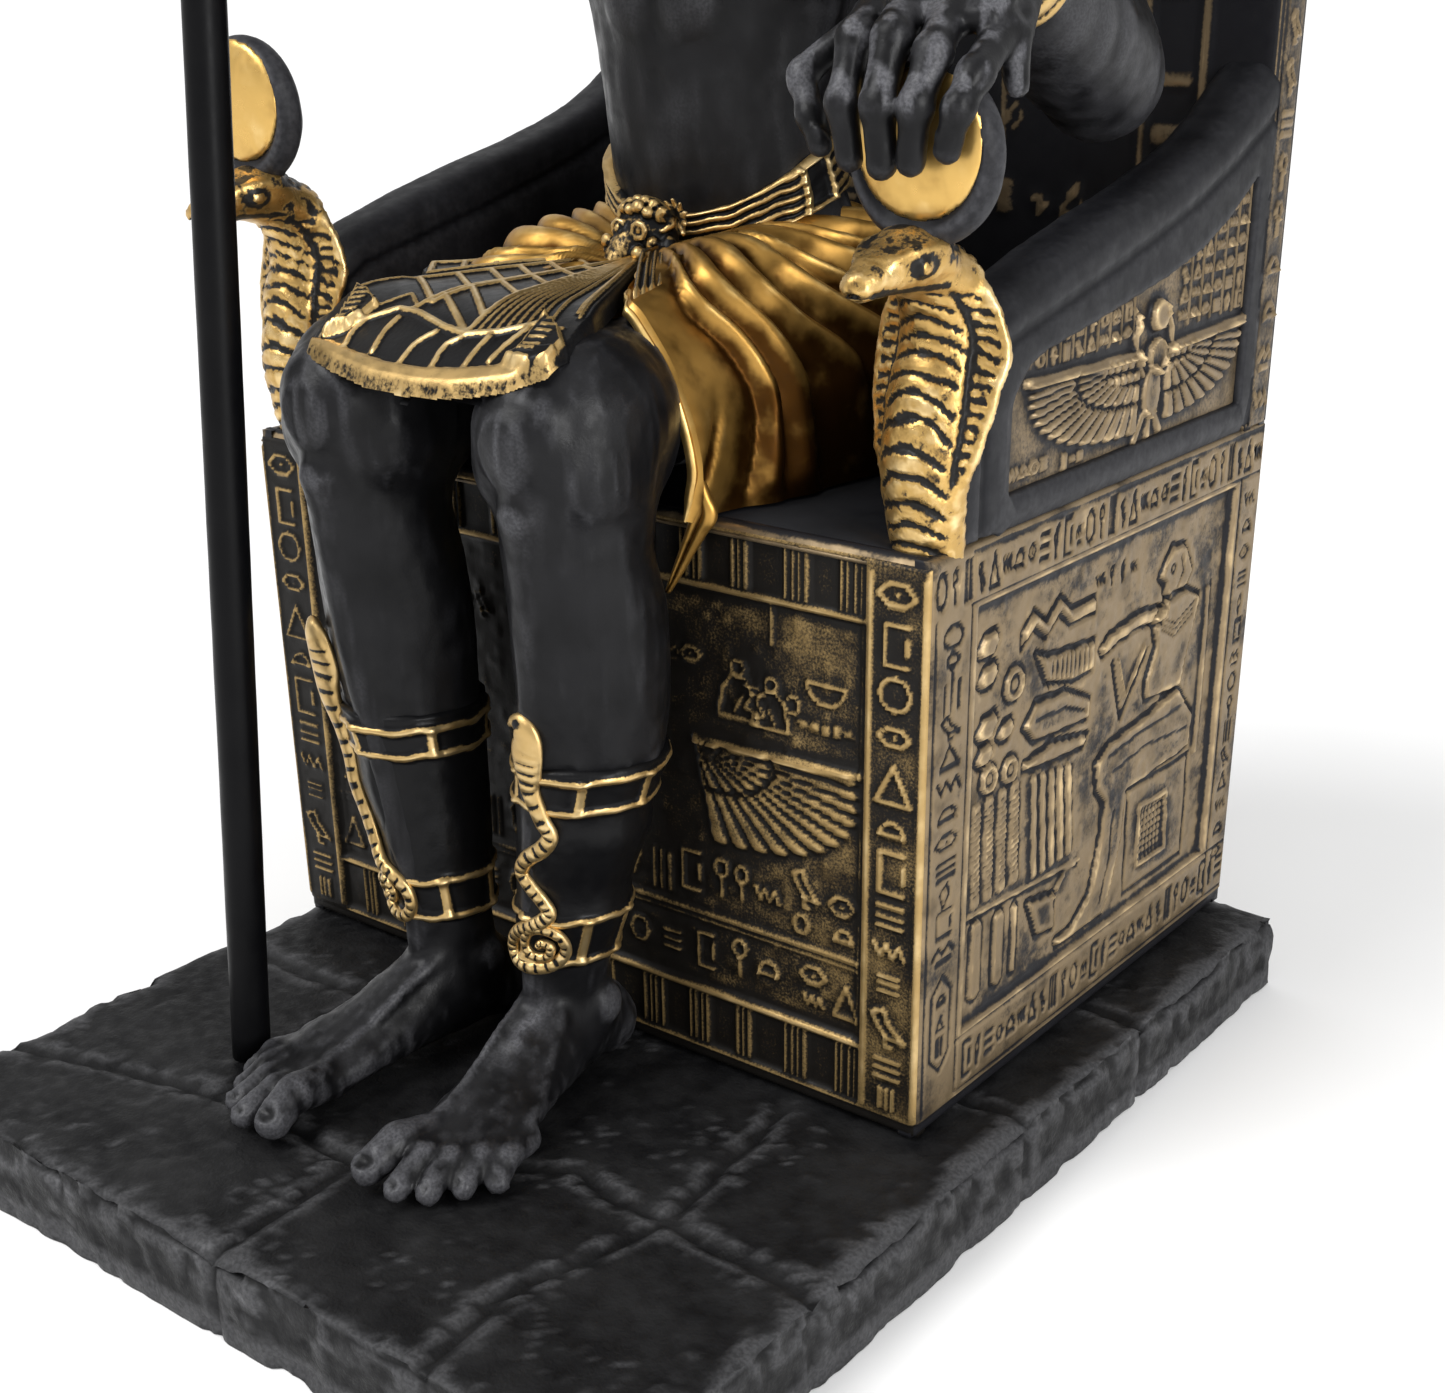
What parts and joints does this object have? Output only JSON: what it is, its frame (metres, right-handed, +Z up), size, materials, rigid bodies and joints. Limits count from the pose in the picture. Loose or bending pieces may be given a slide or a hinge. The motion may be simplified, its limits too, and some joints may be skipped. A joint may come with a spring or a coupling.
{
  "type": "anubis statue",
  "caption": "Jackal-headed figure enthroned between two reared cobras, holding a staff, on a rough flagstone plinth; a painted cast-resin table statue.",
  "frame": {"origin": "middle of the footprint box, at the plinth's underside", "axes": "+Z up, the figure faces -Y, and its left hand is on the +X side"},
  "size_m": [0.1418, 0.1668, 0.3001],
  "materials": {
    "plinth_black": "matt black paint on cast resin, rough and pitted like stone",
    "throne_gold": "antique gold brushed over black on cast resin, satin",
    "figure_black": "satin black paint on cast resin, gold on the skirt and ornaments",
    "staff_black": "satin black paint on a thin rod"
  },
  "bodies": {
    "root": {"plinth": "plinth_black", "throne": "throne_gold", "figure": "figure_black", "staff": "staff_black"}
  },
  "joints": []
}
